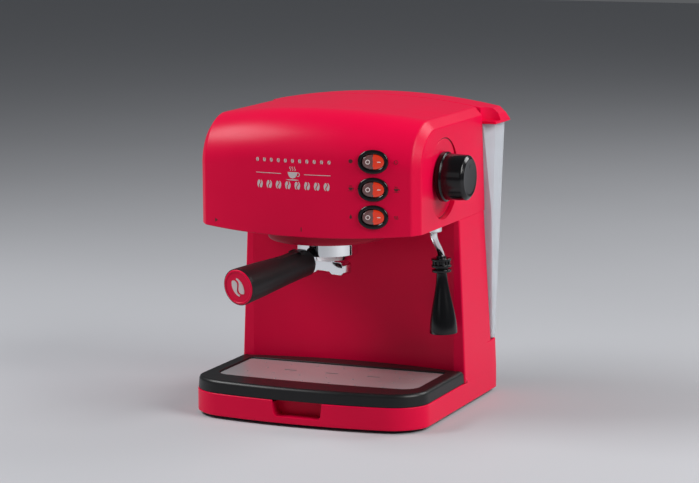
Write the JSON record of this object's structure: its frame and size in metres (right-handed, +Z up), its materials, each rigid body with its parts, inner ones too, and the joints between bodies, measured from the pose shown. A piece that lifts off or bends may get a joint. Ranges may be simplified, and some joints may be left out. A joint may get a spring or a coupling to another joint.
{
  "type": "espresso machine",
  "caption": "Pump espresso machine with a bulged head, portafilter, steam wand and knob, rocker switches, lift-off drip tray and a lidded water tank at the back.",
  "frame": {"origin": "middle of the footprint of the whole machine, handle and knob included, on the worktop", "axes": "+X to the operator's right, +Y to the back, +Z up"},
  "size_m": [0.267, 0.3132, 0.299],
  "materials": {
    "red_plastic": "satin-gloss moulded ABS",
    "dark_plastic": "fine-textured moulding",
    "satin_black": "satin moulding",
    "gloss_black": "gloss moulding",
    "rubber": "matt",
    "plate_metal": "satin light grey",
    "tank_plastic": "frosted translucent",
    "rocker_red": "translucent, lit from inside",
    "chrome": "polished",
    "steel": "satin",
    "aluminium": "cast",
    "brass": "machined",
    "white_plastic": "moulded",
    "silicone": "translucent white"
  },
  "bodies": {
    "root": {"body_shell": "red_plastic", "head_shell": "red_plastic", "head_floor": "red_plastic", "rear_cover": "dark_plastic", "base_plate": "dark_plastic", "tank_socket": "dark_plastic", "switch_housings": "dark_plastic", "pump_coil": "dark_plastic", "switch_bezels": "gloss_black", "feet": "rubber", "cord_gland": "rubber", "group_gasket": "rubber", "pump_mounts": "rubber", "wand_nut": "chrome", "base_screws": "steel", "head_screws": "steel", "rear_screws": "steel", "rocker_pins": "steel", "steam_pipe": "steel", "wand_feed_pipe": "steel", "shower_screen": "steel", "shower_screw": "steel", "boiler_screws": "steel", "heating_element": "steel", "thermal_fuse": "steel", "pump_bracket": "steel", "brew_head": "aluminium", "boiler_base": "aluminium", "boiler_top": "aluminium", "steam_valve": "brass", "relief_valve": "brass", "terminal_block": "white_plastic", "thermostats": "white_plastic", "pump_core": "white_plastic", "suction_hose": "silicone", "pressure_hose": "silicone"},
    "tray": {"drip_tray": "satin_black"},
    "grid": {"drip_grid": "plate_metal"},
    "tank": {"water_tank": "tank_plastic", "tank_valve": "white_plastic", "lid_hinge_pins": "steel"},
    "lid": {"tank_lid": "red_plastic"},
    "power_switch": {"power_rocker": "rocker_red"},
    "coffee_switch": {"coffee_rocker": "rocker_red"},
    "steam_switch": {"steam_rocker": "rocker_red"},
    "knob": {"steam_knob": "gloss_black", "valve_stem": "steel"},
    "wand": {"wand_ball": "chrome", "wand_tube": "chrome", "wand_nozzle": "chrome"},
    "frother": {"wand_collar": "gloss_black", "froth_sleeve": "gloss_black"},
    "portafilter": {"portafilter_bowl": "chrome", "filter_basket": "steel", "spout": "chrome", "handle_grip": "satin_black", "handle_cap": "red_plastic", "handle_stud": "steel"},
    "clip": {"basket_clip": "gloss_black"},
    "piston": {"pump_piston": "steel"}
  },
  "joints": [
    {"name": "tray_lift", "type": "slide", "parent": "root", "child": "tray", "axis": [0, 0, 1], "range_m": [0, 0.018]},
    {"name": "grid_lift", "type": "slide", "parent": "tray", "child": "grid", "axis": [0, 0, 1], "range_m": [0, 0.02]},
    {"name": "tank_lift", "type": "slide", "parent": "root", "child": "tank", "axis": [0, 0, 1], "range_m": [0, 0.25]},
    {"name": "lid_hinge", "type": "hinge", "parent": "tank", "child": "lid", "pos_m": [-0.0065, 0.15337, 0.27], "axis": [-1, 0, 0], "range_deg": [0, 100]},
    {"name": "power_rock", "type": "hinge", "parent": "root", "child": "power_switch", "pos_m": [0.06419, -0.07623, 0.255], "axis": [0, 0, -1], "range_deg": [0, 16]},
    {"name": "coffee_rock", "type": "hinge", "parent": "root", "child": "coffee_switch", "pos_m": [0.06419, -0.07623, 0.229], "axis": [0, 0, -1], "range_deg": [0, 16]},
    {"name": "steam_rock", "type": "hinge", "parent": "root", "child": "steam_switch", "pos_m": [0.06419, -0.07623, 0.203], "axis": [0, 0, -1], "range_deg": [0, 16]},
    {"name": "knob_turn", "type": "hinge", "parent": "root", "child": "knob", "pos_m": [0.1185, -0.00363, 0.234], "axis": [1, 0, 0], "range_deg": [0, 270]},
    {"name": "wand_swivel", "type": "hinge", "parent": "root", "child": "wand", "pos_m": [0.0955, -0.00163, 0.182], "axis": [0, 0, 1], "range_deg": [-100, 20]},
    {"name": "frother_pull", "type": "slide", "parent": "wand", "child": "frother", "axis": [-0.0349, 0, 0.9994], "range_m": [-0.03, 0]},
    {"name": "portafilter_turn", "type": "hinge", "parent": "root", "child": "portafilter", "pos_m": [-0.0065, -0.02163, 0.163], "axis": [0, 0, 1], "range_deg": [-30, 12]},
    {"name": "clip_lift", "type": "hinge", "parent": "portafilter", "child": "clip", "pos_m": [-0.01844, -0.06621, 0.16295], "axis": [-0.9659, 0.2588, 0], "range_deg": [0, 15]},
    {"name": "piston_stroke", "type": "slide", "parent": "root", "child": "piston", "axis": [1, 0, 0], "range_m": [-0.004, 0.004], "stiffness_N_per_m": 1500}
  ]
}
